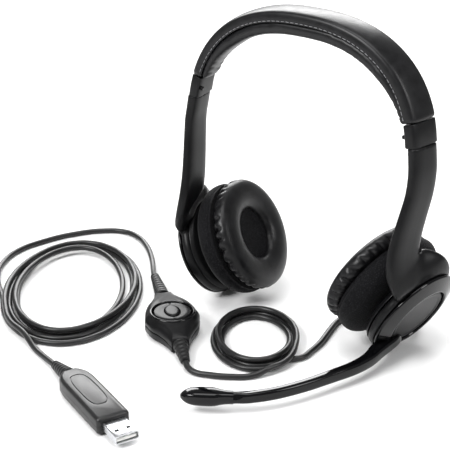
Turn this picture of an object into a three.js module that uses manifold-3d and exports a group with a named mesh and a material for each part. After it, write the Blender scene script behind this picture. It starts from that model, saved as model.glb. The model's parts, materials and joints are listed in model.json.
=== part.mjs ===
// A corded office headset: padded headband, two swivelling on-ear cups, a swinging microphone boom,
// an in-line volume control on the cord and a USB-A plug. Millimetres, +Z up, the wearer faces -Y.
// The origin is on the surface that the headset stands on, under the middle of the headset with its boom.
// Every piece is laid out about the headband's own centre plane and then moved back by LAYOUT_Y.
import * as THREE from "three";
import { mergeVertices } from "three/addons/utils/BufferGeometryUtils.js";
import Module from "manifold-3d";

const wasm = await Module();
wasm.setup();

// ---- driving dimensions, mm ----
const LAYOUT_Y = 34.7; // from the middle of headset and boom back to the headband's centre plane
const GAP = 0.3; // air between pieces that touch
const ARCH = { halfWidth: 66.5, rise: 63, baseZ: 104, power: 2.4 }; // centreline of the headband
const BAND = { width: 18, outer: 5.2, inner: -7.8, endInner: -4.6, endZ: 128 };
const CAP = { width: 16.4, bottomZ: 117, outer: 4.8, inner: -2.0, spigotTopZ: 143 };
const SLIDE = { x: 66.8, z: 117, tiltDeg: 16.5, width: 7.6, thick: 1.4, topZ: 141, bottomZ: 105 };
const ARM = { width: 16.6, thick: 5.8, topZ: 116.7 };
const TOE_IN = Math.tan(THREE.MathUtils.degToRad(9)) / ARCH.halfWidth; // the front edges lie closer together
const LEAN = 0.06; // the band and the arms lean back by this much for each millimetre of height
// Centre and axis of an ear cup, and the place of its cushion's middle along the axis.
const CUP = { x: 48.4, y: 9, z: 33.2, tiltDeg: 27, yawDeg: 10, cushionS: -10.3 };
const CORD = 3.2; // diameter of the round cord
const ROUND = 24; // facets round a large turned piece
const SMALL_ROUND = 12; // facets round a small one

const DEG = Math.PI / 180;

// ---- solids and meshes ----
function toSolid(geometry) {
  const bare = geometry.index ? geometry.toNonIndexed() : geometry.clone();
  bare.deleteAttribute("normal");
  bare.deleteAttribute("uv");
  const merged = mergeVertices(bare, 1e-4);
  return new wasm.Manifold(new wasm.Mesh({
    numProp: 3,
    vertProperties: merged.attributes.position.array,
    triVerts: new Uint32Array(merged.index.array),
  }));
}

function toGeometry(solid) {
  const mesh = solid.getMesh();
  const geometry = new THREE.BufferGeometry();
  geometry.setAttribute("position", new THREE.BufferAttribute(new Float32Array(mesh.vertProperties), 3));
  geometry.setIndex(new THREE.BufferAttribute(new Uint32Array(mesh.triVerts), 1));
  geometry.computeVertexNormals();
  return geometry;
}

const join = (...parts) => toGeometry(parts.map(toSolid).reduce((a, b) => a.add(b)));
const common = (a, b) => toGeometry(toSolid(a).intersect(toSolid(b)));
const cut = (a, ...tools) =>
  toGeometry(tools.map(toSolid).reduce((body, tool) => body.subtract(tool), toSolid(a)));

function finish(color, roughness, metalness = 0) {
  return new THREE.MeshStandardMaterial({ color, roughness, metalness });
}

const LEATHER = finish(0x0c0c0f, 0.38);
const SATIN_PLASTIC = finish(0x121214, 0.45);
const GLOSS_PLASTIC = finish(0x08080a, 0.12);
const TEXTILE = finish(0x151518, 0.9);
const RUBBER = finish(0x141416, 0.6);
const STEEL = finish(0xb8babd, 0.3, 1);
const BOARD = finish(0x1d4a2a, 0.6);
const INSULATOR = finish(0xe9e9e6, 0.5);

const headset = new THREE.Group();
const layout = new THREE.Group();
layout.position.y = LAYOUT_Y;
headset.add(layout);

function addPiece(name, geometry, material) {
  const mesh = new THREE.Mesh(geometry, material.clone());
  mesh.name = name;
  layout.add(mesh);
}

// ---- shape helpers ----
// Outline in the X-Z plane pushed along Y, centred on y = 0, with its long edges rounded.
function slab(outline, width, edge = 0, edgeSteps = 2) {
  const geometry = new THREE.ExtrudeGeometry(new THREE.Shape(outline), {
    depth: width - 2 * edge,
    bevelEnabled: edge > 0,
    bevelSize: edge,
    bevelThickness: edge,
    bevelOffset: -edge,
    bevelSegments: edgeSteps,
    curveSegments: 12,
  });
  geometry.translate(0, 0, -(width - 2 * edge) / 2);
  return geometry.rotateX(Math.PI / 2);
}

// Profile of [radius, height] turned about Z.
function turned(profile, facets = ROUND) {
  const points = profile.map(([radius, height]) => new THREE.Vector2(radius, height));
  return new THREE.LatheGeometry(points, facets).rotateX(Math.PI / 2);
}

// A closed ring profile, first point repeated at the end.
const ring = (profile, facets = ROUND) => turned([...profile, profile[0]], facets);

function box(x, y, z, cx = 0, cy = 0, cz = 0) {
  return new THREE.BoxGeometry(x, y, z).translate(cx, cy, cz);
}

// Shape pushed along +Z from z = bottom, with rounded ends.
function prism(shape, bottom, height, edge = 0, curveSegments = 6) {
  return new THREE.ExtrudeGeometry(shape, {
    depth: height - 2 * edge,
    bevelEnabled: edge > 0,
    bevelSize: edge,
    bevelThickness: edge,
    bevelOffset: -edge,
    bevelSegments: 2,
    curveSegments,
  }).translate(0, 0, bottom + edge);
}

const polygon = (list) => list.map(([x, z]) => new THREE.Vector2(x, z));
const smooth = (list, steps) => new THREE.SplineCurve(polygon(list)).getPoints(steps);

// Moves the points of a piece in X, by more the further back they are, so both arms toe in alike,
// and in Y, so the band and the arms lean back from the foot of the band.
function stance(geometry) {
  const position = geometry.attributes.position;
  for (let i = 0; i < position.count; i++) {
    const y = position.getY(i);
    position.setX(i, position.getX(i) * (1 + TOE_IN * y));
    position.setY(i, y + LEAN * (position.getZ(i) - ARCH.baseZ));
  }
  return geometry;
}

const mirrored = (outline, side) => (side > 0 ? outline : outline.map((p) => new THREE.Vector2(-p.x, p.y)));

// ---- headband ----
function archPoint(angle, offset) {
  const c = Math.cos(angle);
  const s = Math.sin(angle);
  const q = 2 / ARCH.power;
  const x = Math.sign(c) * ARCH.halfWidth * Math.abs(c) ** q;
  const z = ARCH.rise * Math.abs(s) ** q;
  const k = ARCH.power - 1;
  const normal = new THREE.Vector2(
    (Math.sign(c) * Math.abs(x / ARCH.halfWidth) ** k) / ARCH.halfWidth,
    (z / ARCH.rise) ** k / ARCH.rise,
  ).normalize();
  return new THREE.Vector2(x + offset * normal.x, ARCH.baseZ + z + offset * normal.y);
}

const archAngle = (z) => Math.asin(((z - ARCH.baseZ) / ARCH.rise) ** (ARCH.power / 2));

// A layer of the band between two offsets from its centreline; an offset may depend on the angle.
function bandLayer(outer, inner, width, startZ, edge, steps = 28) {
  const start = archAngle(startZ);
  const at = (offset, angle) => archPoint(angle, typeof offset === "number" ? offset : offset(angle));
  const angles = Array.from({ length: steps + 1 }, (_, i) => start + ((Math.PI - 2 * start) * i) / steps);
  const outline = [
    ...angles.map((angle) => at(outer, angle)),
    ...angles.reverse().map((angle) => at(inner, angle)),
  ];
  return stance(slab(outline, width, edge));
}

// The pad is thin over the slide guides at both ends and thick over the head.
function padBack(angle) {
  const fromEnd = Math.min(angle, Math.PI - angle);
  const t = THREE.MathUtils.smoothstep(fromEnd, archAngle(144), archAngle(150));
  return THREE.MathUtils.lerp(-3.4, -0.7, t);
}

// Its underside rises towards both ends, where it tucks in behind the end caps.
function padFront(angle) {
  const fromEnd = Math.min(angle, Math.PI - angle);
  const t = THREE.MathUtils.smoothstep(fromEnd, archAngle(128), archAngle(156));
  return THREE.MathUtils.lerp(BAND.endInner, BAND.inner, t);
}

function buildHeadband() {
  addPiece("headband_cover", bandLayer(BAND.outer, 3.8, BAND.width, BAND.endZ, 0.5), LEATHER);
  addPiece("headband_pad", bandLayer(padBack, padFront, BAND.width + 0.6, BAND.endZ, 0.5), LEATHER);
  addPiece("headband_core", bandLayer(3.5, 0.6, 13, 145.5, 0, 20), SATIN_PLASTIC);
  addPiece("headband_spring", bandLayer(0.3, -0.4, 10, 146, 0, 20), STEEL);
}

// ---- slide guides: end cap, tongue, detent leaf and its screw ----
// Moves a piece built along +Z at the origin onto the slide line of one side.
function onSlideLine(geometry, side) {
  return stance(geometry
    .rotateY(-side * SLIDE.tiltDeg * DEG)
    .translate(side * SLIDE.x, 0, SLIDE.z));
}

const alongSlide = (z) => (z - SLIDE.z) / Math.cos(SLIDE.tiltDeg * DEG);

function endCap(side) {
  const bottom = archAngle(CAP.bottomZ);
  const top = archAngle(BAND.endZ - GAP);
  const angles = [0, 0.5, 1].map((t) => THREE.MathUtils.lerp(bottom, top, t));
  const outline = [
    ...angles.map((angle) => archPoint(angle, CAP.outer)),
    ...angles.reverse().map((angle) => archPoint(angle, CAP.inner)),
  ];
  const body = stance(slab(mirrored(outline, side), CAP.width, 0.7));
  const spigotStart = alongSlide(BAND.endZ - 3);
  const spigotLength = alongSlide(CAP.spigotTopZ) - spigotStart;
  const spigot = box(3.6, 10.4, spigotLength, -side * 0.1, 0, spigotStart + spigotLength / 2);
  const slot = box(2.6, SLIDE.width + 0.6, 70, side * 0.3, 0, 10);
  const screwHole = turned([[0, 0], [1.4, 0], [1.4, 9], [0, 9]], SMALL_ROUND)
    .rotateY(-side * Math.PI / 2)
    .translate(side * 3, -6.2, alongSlide(122.5));
  return cut(join(body, onSlideLine(spigot, side)), onSlideLine(slot, side), onSlideLine(screwHole, side));
}

function buildSlide(side, name) {
  addPiece(name + "_end_cap", endCap(side), SATIN_PLASTIC);
  const length = alongSlide(SLIDE.topZ) - alongSlide(SLIDE.bottomZ);
  const middle = alongSlide(SLIDE.bottomZ) + length / 2;
  const tongue = box(SLIDE.thick, SLIDE.width, length, -side * 0.15, 0, middle);
  addPiece(name + "_slide_tongue", onSlideLine(tongue, side), STEEL);
  const leaf = box(0.4, 7, 9, side * 1.2, 0, alongSlide(132));
  addPiece(name + "_detent_leaf", onSlideLine(leaf, side), STEEL);
  const screw = turned([[0, 0.6], [1.1, 0.6], [1.1, 4.2], [0, 4.2]], SMALL_ROUND)
    .rotateY(-side * Math.PI / 2)
    .translate(side * 0.4, -6.2, alongSlide(122.5));
  addPiece(name + "_end_cap_screw", onSlideLine(screw, side), STEEL);
}

// ---- ear cups ----
// A group whose +Z is the cup's outward axis, +X points up in the cup's plane, and s = 0 is its middle.
function cupFrame(side) {
  const tilt = CUP.tiltDeg * DEG;
  const yaw = CUP.yawDeg * DEG;
  const flat = Math.cos(tilt);
  const out = new THREE.Vector3(side * flat * Math.cos(yaw), -flat * Math.sin(yaw), -Math.sin(tilt));
  const level = new THREE.Vector3(Math.sin(yaw), side * Math.cos(yaw), 0).multiplyScalar(-1);
  const up = new THREE.Vector3().crossVectors(level, out);
  const matrix = new THREE.Matrix4().makeBasis(up, level, out);
  return matrix.setPosition(side * CUP.x, CUP.y, CUP.z);
}

function addCupPiece(name, geometry, material, side) {
  addPiece(name, geometry.applyMatrix4(cupFrame(side)), material);
}

const BALL = { radius: 3.5, s: 6.2 };

// Round housing at the foot of the arm: wall, outer plate and the boss that the ring turns on.
function housingShell() {
  return ring([
    [5.9, 18.0], [24.1, 18.0], [24.1, 14.5], [25.8, 14.5], [26.2, 16.5], [26.0, 19.3],
    [8.0, 19.3], [8.0, 21.3], [5.9, 21.3],
  ]);
}

function cushionProfile() {
  const middle = 24.0;
  const profile = [];
  const steps = 10;
  for (let i = 0; i < steps; i++) {
    const a = (2 * Math.PI * i) / steps;
    const r = middle + 8.0 * Math.sign(Math.cos(a)) * Math.abs(Math.cos(a)) ** 0.8;
    const s = CUP.cushionS + 5.7 * Math.sign(Math.sin(a)) * Math.abs(Math.sin(a)) ** 0.8;
    profile.push([r, s]);
  }
  return profile;
}

function cupBackProfile() {
  const cavity = [];
  for (let i = 0; i <= 4; i++) {
    const a = THREE.MathUtils.lerp(42, -90, i / 4) * DEG;
    cavity.push([4.0 * Math.cos(a), BALL.s + 4.0 * Math.sin(a)]);
  }
  cavity[cavity.length - 1][0] = 0;
  return [
    [0, 1.0], [5.8, 1.0], [5.8, 5.2], [20, 4.6], [27.6, 3.2], [29.6, -2.4], [31.4, -2.4],
    [31.4, 0.8], [30.2, 4.2], [27.0, 6.8], [20, 8.1], [6, 8.9], ...cavity,
  ];
}

function buildCup(side, name) {
  const back = [
    [4.6, 10.8], [20.5, 10.6], [24.2, 11.6], [25.9, 14.2], [24.0, 14.2], [20.4, 12.4], [4.6, 12.4],
  ];
  addCupPiece(name + "_housing_back", ring(back), SATIN_PLASTIC, side);
  const ball = [[0, BALL.s - BALL.radius]];
  for (let i = 1; i <= 5; i++) {
    const a = THREE.MathUtils.lerp(-90, 55, i / 5) * DEG;
    ball.push([BALL.radius * Math.cos(a), BALL.s + BALL.radius * Math.sin(a)]);
  }
  ball.push([2.0, 12.9], [4.4, 12.9], [4.4, 14.4], [0, 14.4]);
  addCupPiece(name + "_swivel_ball", turned(ball, SMALL_ROUND), STEEL, side);
  addCupPiece(name + "_cup_back", turned(cupBackProfile()), TEXTILE, side);
  const baffle = [[15.4, -4.2], [30.6, -4.2], [30.6, -2.8], [15.4, -2.8]];
  addCupPiece(name + "_baffle", ring(baffle), SATIN_PLASTIC, side);
  const basket = [[0, -6.6], [13.4, -6.6], [15.0, -5.6], [15.0, -3.2], [9, -2.4], [0, -2.4]];
  addCupPiece(name + "_speaker_driver", turned(basket), STEEL, side);
  const cone = [[0, -8.2], [6, -7.7], [13.2, -7.5], [13.2, -6.9], [0, -6.9]];
  addCupPiece(name + "_speaker_cone", turned(cone), GLOSS_PLASTIC, side);
  const cloth = [[0, -10.6], [15.1, -10.6], [15.1, -9.9], [0, -9.9]];
  addCupPiece(name + "_grille_cloth", turned(cloth), TEXTILE, side);
  addCupPiece(name + "_ear_cushion", ring(cushionProfile()), LEATHER, side);
  const disc = [
    [0, 19.7], [5.4, 19.7], [5.4, 22.0], [16.4, 22.0], [17.1, 22.4], [17.1, 22.9], [16.4, 23.3], [0, 23.3],
  ];
  addCupPiece(name + "_cap_disc", turned(disc), SATIN_PLASTIC, side);
}

// Glossy ring round the cap disc; the boom grows out of the right-hand one.
function faceRing() {
  return ring([
    [8.5, 19.7], [25.4, 19.7], [26.3, 20.4], [26.2, 21.1], [24.8, 22.2], [18.3, 22.7], [17.6, 21.6],
    [8.5, 21.6],
  ]);
}

// ---- arms ----
const ARM_PATH = [
  [67.9, 0, ARM.topZ], [69.8, 0, 104], [69.4, -0.1, 92], [68.2, -1.6, 80], [67.2, -3.6, 70],
  [67.0, -5.4, 61], [67.2, -5.5, 52], [67.2, -4.1, 45],
];
const ARM_STEPS = 14;
const SHOULDER = { at: [68.2, -1.2, 47.6], size: [6.6, 14.5, 11] };

// Flat oval with full ends, width across and thickness through.
function ovalSection(through, across, sides, power) {
  return new THREE.Shape(Array.from({ length: sides }, (_, i) => {
    const a = (2 * Math.PI * (i + 0.5)) / sides;
    const round = (v) => Math.sign(v) * Math.abs(v) ** (2 / power);
    return new THREE.Vector2((through / 2) * round(Math.cos(a)), (across / 2) * round(Math.sin(a)));
  }));
}

// Tube of an oval section along a smooth path.
function along(path, across, through, steps, sides = 8, power = 2) {
  const curve = new THREE.CatmullRomCurve3(path.map((p) => new THREE.Vector3(...p)));
  return new THREE.ExtrudeGeometry(ovalSection(through, across, sides, power), {
    steps, extrudePath: curve, bevelEnabled: false,
  });
}

// The blade comes down from the slide and runs tangent into the front of the round housing.
function armBlade(side) {
  const path = ARM_PATH.map(([x, y, z]) => [side * x, y, z]);
  const [x, y, z] = SHOULDER.at;
  const shoulder = new THREE.SphereGeometry(1, 14, 10).scale(...SHOULDER.size).translate(side * x, y, z);
  return stance(join(along(path, ARM.width, ARM.thick, ARM_STEPS, 14, 2.6), shoulder));
}

function buildArm(side, name) {
  const frame = cupFrame(side);
  const room = (profile) => turned(profile).applyMatrix4(frame);
  const hollow = room([[0, 0], [24.1, 0], [24.1, 18.0], [5.9, 18.0], [5.9, 40], [0, 40]]);
  const plateRoom = room([[0, 0], [26.3, 0], [26.3, 14.5], [0, 14.5]]);
  const ringRoom = room([[8.0, 19.3], [27.4, 19.3], [27.4, 60], [8.0, 60], [8.0, 19.3]]);
  const cushionRoom = room([[0, -40], [34, -40], [34, 9.4], [28, 10.4], [0, 10.4]]);
  const pocketLength = 40;
  const pocketMiddle = alongSlide(SLIDE.bottomZ) - GAP + pocketLength / 2;
  const [thick, width] = [SLIDE.thick + 2 * GAP, SLIDE.width + 2 * GAP];
  const pocket = box(thick, width, pocketLength, -side * 0.15, 0, pocketMiddle);
  const blade = cut(armBlade(side), plateRoom, ringRoom, cushionRoom);
  const joined = join(blade, housingShell().applyMatrix4(frame));
  addPiece(name + "_arm", cut(joined, hollow, onSlideLine(pocket, side)), SATIN_PLASTIC);
}

// ---- microphone boom ----
const BOOM_SOCKET = [[58.0, -4, 9.6], [58.4, -10, 8.4], [59.2, -19, 7.8]];
const BOOM_PATH = [
  [59.2, -19.3, 7.8], [59.8, -28, 7.8], [57.8, -39, 8.0], [53.6, -51, 8.2],
  [48.2, -66, 8.4], [41.4, -80, 8.5], [33.4, -91, 8.5], [25.8, -98, 8.5],
];
const MIC = { length: 22.5, radius: 3.9, capsule: 2.2 };

// A turned piece whose axis runs from one point towards another.
function aimed(geometry, from, to) {
  const start = new THREE.Vector3(...from);
  const direction = new THREE.Vector3(...to).sub(start).normalize();
  const turn = new THREE.Quaternion().setFromUnitVectors(new THREE.Vector3(0, 0, 1), direction);
  return geometry.applyQuaternion(turn).translate(start.x, start.y, start.z);
}

function buildBoom() {
  const socket = along(BOOM_SOCKET, 8.5, 9, 4);
  const clear = turned([[0, 14], [27, 14], [27, 19.7], [0, 19.7]]).applyMatrix4(cupFrame(1));
  const rim = faceRing().applyMatrix4(cupFrame(1));
  const inner = turned([[0, 19], [22, 19], [22, 60], [0, 60]]).applyMatrix4(cupFrame(1));
  addPiece("boom_ring", join(rim, cut(socket, clear, inner)), GLOSS_PLASTIC);
  addPiece("boom_arm", along(BOOM_PATH, 4.8, 6.0, 18), GLOSS_PLASTIC);
  const end = BOOM_PATH[BOOM_PATH.length - 1];
  const tip = [7.0, -110.4, 8.2];
  const shell = [
    [0, 0.6], [2.6, 0.6], [3.5, 4], [MIC.radius, 9], [3.8, 15], [2.6, 20], [1.2, MIC.length],
    [1.2, 18], [2.5, 17], [2.5, 9], [0, 9],
  ];
  addPiece("mic_housing", aimed(turned(shell, SMALL_ROUND), end, tip), GLOSS_PLASTIC);
  const capsule = [[0, 10], [MIC.capsule, 10], [MIC.capsule, 16], [0, 16]];
  addPiece("mic_capsule", aimed(turned(capsule, 12), end, tip), STEEL);
}

// ---- cord ----
const FLOOR_Z = CORD / 2 + 0.1; // centre height of a cord that lies on the surface
const RELIEF_PATH = [[55.7, 23.3, 6.3], [55.2, 25.2, 4.6], [54.6, 28.0, 3.3], [53.6, 31.4, 2.7]];
const onFloor = ([x, y]) => [x, y, FLOOR_Z];
const HEADSET_RUN = [
  [53.1, 32.6, 2.4],
  ...[
    [50.9, 36.4], [46.5, 38.6], [40.5, 36.6], [34, 31.6], [28, 26.5], [22.6, 21.2], [19.2, 15], [18.8, 8.5],
    [20.3, 0.5], [22.4, -8], [24.4, -17], [25.3, -26], [25.4, -34], [24.9, -42.5],
  ].map(onFloor),
];
const SMALL_COIL = { x: -4.8, y: -33.6, across: 24.0, deep: 32.5, band: 8.3, height: 6.6 };
const MIDDLE_RUN = [
  ...[[20.9, -56.2], [15.5, -65], [7.5, -72], [-2, -77], [-9.8, -79.4]].map(onFloor),
  [-14.6, -78.6, 2.4], [-18.1, -76.2, 3.2],
];
const UPPER_RUN = [
  [-94.1, -9.2, 3.2], [-97.9, -5.6, 2.4],
  ...[
    [-103.5, 0.6], [-114.5, 12], [-128, 23], [-139, 28.8], [-150, 30], [-162, 23.5], [-174, 7.5],
    [-181.5, -12], [-184, -29], [-180, -45.5], [-170, -60.5], [-160.4, -69], [-155.3, -75.2],
  ].map(onFloor),
];
const BIG_COIL = { x: -121.5, y: -49.5, across: 40, deep: 64, band: 15, height: 8.4 };
const PLUG_RUN = [
  ...[[-98, -108.4], [-90.5, -110.6], [-83.5, -113.0]].map(onFloor),
  [-76.4, -115.5, 2.2], [-69.6, -118.0, 2.8],
];

// Closed outer shape of a loose coil: an oval ring that lies on the surface, long side away from the wearer.
function coilSolid({ x, y, across, deep, band, height }) {
  const middle = 1 - band / 2 / across;
  const half = band / 2 / across;
  const rim = [
    [middle - half, height * 0.25], [middle, 0], [middle + half, height * 0.25],
    [middle + half, height * 0.75], [middle, height], [middle - half, height * 0.75],
  ];
  return ring(rim, 24).scale(across, deep, 1).rotateZ(37 * DEG).translate(x, y, 0.1);
}

function buildCord() {
  addPiece("cord_relief", along(RELIEF_PATH, 4.8, 4.8, 6), RUBBER);
  addPiece("cord_run_headset", along(HEADSET_RUN, CORD, CORD, 20), RUBBER);
  addPiece("cord_small_coil", coilSolid(SMALL_COIL), RUBBER);
  addPiece("cord_run_middle", along(MIDDLE_RUN, CORD, CORD, 7), RUBBER);
  addPiece("cord_run_upper", along(UPPER_RUN, CORD, CORD, 27), RUBBER);
  addPiece("cord_big_coil", coilSolid(BIG_COIL), RUBBER);
  addPiece("cord_run_plug", along(PLUG_RUN, CORD, CORD, 4), RUBBER);
}

// ---- in-line control ----
// Its own frame: +X towards the headset end of the cord, z = 0 on the surface.
const CONTROL = {
  x: -47.4, y: -50.4, turnDeg: -41.3, lowerLength: 24.5, upperLength: 33, halfWidth: 15, neck: 5.2,
  bottomZ: 0.2, splitZ: 5.8, topZ: 12.2, lowerTip: 38.4, upperTip: 61, cordZ: 3.2,
};
const ROCKER = { radius: 9.7, bottomZ: 9.4, topZ: 12.8 };
const inControl = (geometry) =>
  geometry.rotateZ(CONTROL.turnDeg * DEG).translate(CONTROL.x, CONTROL.y, 0);

// Drop shape drawn out to a neck at both ends, further at the upper one.
function controlShape() {
  const { lowerLength, upperLength, halfWidth, neck } = CONTROL;
  const quarter = smooth([
    [0, halfWidth], [8, halfWidth - 2.1], [14.5, halfWidth - 6.4], [19.5, neck + 1.4], [lowerLength, neck],
  ], 6);
  const stretch = upperLength / lowerLength;
  const flip = (points, x, y) => points.map((p) => new THREE.Vector2(x * p.x, y * p.y));
  return new THREE.Shape([
    ...quarter,
    ...flip(quarter, 1, -1).reverse(),
    ...flip(quarter, -stretch, -1).slice(1),
    ...flip(quarter, -stretch, 1).reverse().slice(0, -1),
  ]);
}

function ovalShape(length, width) {
  const shape = new THREE.Shape();
  shape.absellipse(0, 0, length / 2, width / 2, 0, 2 * Math.PI);
  return shape;
}

function buildControl() {
  const add = (name, geometry, material) => addPiece(name, inControl(geometry), material);
  const { bottomZ, splitZ, topZ, lowerLength, upperLength, lowerTip, upperTip, cordZ } = CONTROL;
  const boardZ = 3.4;
  const cavity = prism(ovalShape(35, 21), boardZ - GAP, 10, 0, 8);
  const bottom = prism(controlShape(), bottomZ, splitZ - bottomZ - GAP, 0.8);
  const screwX = 10;
  const screwHole = (x) => turned([[0, -1], [1.9, -1], [1.9, 2.4], [0, 2.4]]).translate(x, 0, 0);
  add("control_bottom_shell", cut(bottom, cavity, screwHole(screwX), screwHole(-screwX)), SATIN_PLASTIC);
  for (const [name, x] of [["front", screwX], ["back", -screwX]]) {
    const screw = turned([[0, 0.7], [1.6, 0.7], [1.6, 2.1], [0, 2.1]], SMALL_ROUND).translate(x, 0, 0);
    add("control_screw_" + name, screw, STEEL);
  }
  const well = turned([[0, 8.6], [ROCKER.radius + 0.5, 8.6], [ROCKER.radius + 0.5, 20], [0, 20]]);
  add("control_top_shell", cut(prism(controlShape(), splitZ, topZ - splitZ, 1.4), well), SATIN_PLASTIC);
  add("control_board", prism(ovalShape(33, 19), boardZ, 1.2, 0, 6), BOARD);
  const { radius, bottomZ: low, topZ: high } = ROCKER;
  const rocker = turned([[0, low], [radius, low], [radius, high - 0.7], [radius - 0.7, high], [0, high]]);
  const buttonHole = prism(ovalShape(13.6, 8.8), low - 1, 10, 0, 5);
  add("volume_rocker", cut(rocker, buttonHole), SATIN_PLASTIC);
  add("mute_button", prism(ovalShape(12.6, 7.8), 9.9, 3.4, 0.5, 5), GLOSS_PLASTIC);
  const ends = [
    [1, lowerLength, lowerTip, "control_lower_relief"],
    [-1, upperLength, upperTip, "control_upper_relief"],
  ];
  for (const [way, neckEnd, tip, name] of ends) {
    const start = neckEnd + 3 * GAP;
    const from = [way * start, 0, 5.2];
    const length = tip - start;
    const taper = [[0, 0], [3.9, 0], [3.9, 1.5], [2.4, length], [0, length]];
    add(name, aimed(turned(taper, SMALL_ROUND), from, [way * tip, 0, cordZ]), RUBBER);
  }
}

// ---- plug ----
// Its own frame: +X towards the socket, z = 0 on the surface.
const PLUG = {
  x: -53.5, y: -124.4, turnDeg: -22.4, z: 5.0, width: 17, thick: 9.2, body: 50.5, relief: 17.2,
};
const USB = { width: 12, thick: 4.5, wall: 0.45, length: 13.5, tongueWidth: 10.4, tongueThick: 1.7 };
const inPlug = (geometry) => geometry.rotateZ(PLUG.turnDeg * DEG).translate(PLUG.x, PLUG.y, 0);

// Handle outline: square at the socket end, drawn in towards the cord.
function plugShape() {
  const half = PLUG.width / 2;
  const side = smooth([[0, 3.6], [2, 5.6], [5.5, 7.6], [11, half]], 4);
  const corner = [new THREE.Vector2(PLUG.body - 1.4, half), new THREE.Vector2(PLUG.body, half - 1.4)];
  const upper = [...side, ...corner];
  return new THREE.Shape([...upper, ...upper.map((p) => new THREE.Vector2(p.x, -p.y)).reverse()]);
}

function buildPlug() {
  const add = (name, geometry, material) => addPiece(name, inPlug(geometry), material);
  add("plug_body", prism(plugShape(), PLUG.z - PLUG.thick / 2, PLUG.thick, 1.2), RUBBER);
  const taper = [[0, 0.6], [3.4, 0.6], [3.4, 4], [2.2, PLUG.relief], [0, PLUG.relief]];
  add("plug_relief", aimed(turned(taper, SMALL_ROUND), [0, 0, PLUG.z], [-PLUG.relief, 0, 2.9]), RUBBER);
  const front = PLUG.body + GAP;
  const shellX = front + USB.length / 2;
  const shell = box(USB.length, USB.width, USB.thick, shellX, 0, PLUG.z);
  const floor = 0.9; // closed end of the shell, where it meets the handle
  const [inside, gapThick] = [USB.width - 2 * USB.wall, USB.thick - 2 * USB.wall];
  const bore = box(USB.length, inside, gapThick, shellX + floor, 0, PLUG.z);
  const window = (y) => box(2.2, 2.2, 10, front + 8.6, y, PLUG.z);
  add("usb_shell", cut(shell, bore, window(3), window(-3)), STEEL);
  const tongueLength = USB.length - 2.4;
  const tongue = box(tongueLength, USB.tongueWidth, USB.tongueThick, shellX + floor / 2, 0, PLUG.z - 0.6);
  add("usb_tongue", tongue, INSULATOR);
}

buildHeadband();
for (const [side, name] of [[1, "right"], [-1, "left"]]) {
  buildSlide(side, name);
  buildArm(side, name);
  buildCup(side, name);
}
addCupPiece("left_trim_ring", faceRing(), GLOSS_PLASTIC, -1);
buildBoom();
buildCord();
buildControl();
buildPlug();

export default headset;
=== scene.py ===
"""Corded office headset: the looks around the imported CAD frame. Layout coordinates are in millimetres."""

import json
import math

import bmesh
import bpy
import numpy as np
from mathutils import Matrix, Vector


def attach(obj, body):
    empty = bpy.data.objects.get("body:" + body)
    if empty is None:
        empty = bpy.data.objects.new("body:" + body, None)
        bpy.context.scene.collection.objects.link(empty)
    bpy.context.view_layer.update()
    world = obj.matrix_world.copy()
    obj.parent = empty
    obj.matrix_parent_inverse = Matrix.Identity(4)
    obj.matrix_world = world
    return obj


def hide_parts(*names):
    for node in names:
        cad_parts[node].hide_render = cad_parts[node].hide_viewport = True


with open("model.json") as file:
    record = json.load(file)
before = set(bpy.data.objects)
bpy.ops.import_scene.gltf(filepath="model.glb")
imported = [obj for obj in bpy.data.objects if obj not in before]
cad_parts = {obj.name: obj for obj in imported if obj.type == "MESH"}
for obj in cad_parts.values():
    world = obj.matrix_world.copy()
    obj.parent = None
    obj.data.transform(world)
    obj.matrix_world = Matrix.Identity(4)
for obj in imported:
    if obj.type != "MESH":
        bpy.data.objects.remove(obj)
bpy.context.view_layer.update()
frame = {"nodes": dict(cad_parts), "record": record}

MM = 0.001
# The CAD lays its pieces out about the headband's centre plane, then moves them back by this.
LAYOUT_Y = 34.7
SIDES = ((1, "right"), (-1, "left"))


def at(x, y, z):
    """A layout point in the row frame, in metres."""
    return Vector((x, y + LAYOUT_Y, z)) * MM


# ---- camera ----
VIEW = {"azimuth": 37, "elevation": 24, "distance": 700, "target": (-40.15, 57.27), "lens": 106.3}


def make_camera():
    turn, rise = math.radians(VIEW["azimuth"]), math.radians(VIEW["elevation"])
    across, height = VIEW["target"]
    target = at(across * math.cos(turn), across * math.sin(turn), height)
    towards = Vector((math.sin(turn) * math.cos(rise), -math.cos(turn) * math.cos(rise), math.sin(rise)))
    data = bpy.data.cameras.new("camera")
    data.lens = VIEW["lens"]
    data.sensor_width = 36
    camera = bpy.data.objects.new("camera", data)
    camera.location = target + towards * VIEW["distance"] * MM
    camera.rotation_euler = towards.to_track_quat("Z", "Y").to_euler()
    bpy.context.scene.collection.objects.link(camera)
    bpy.context.scene.camera = camera


make_camera()


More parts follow.
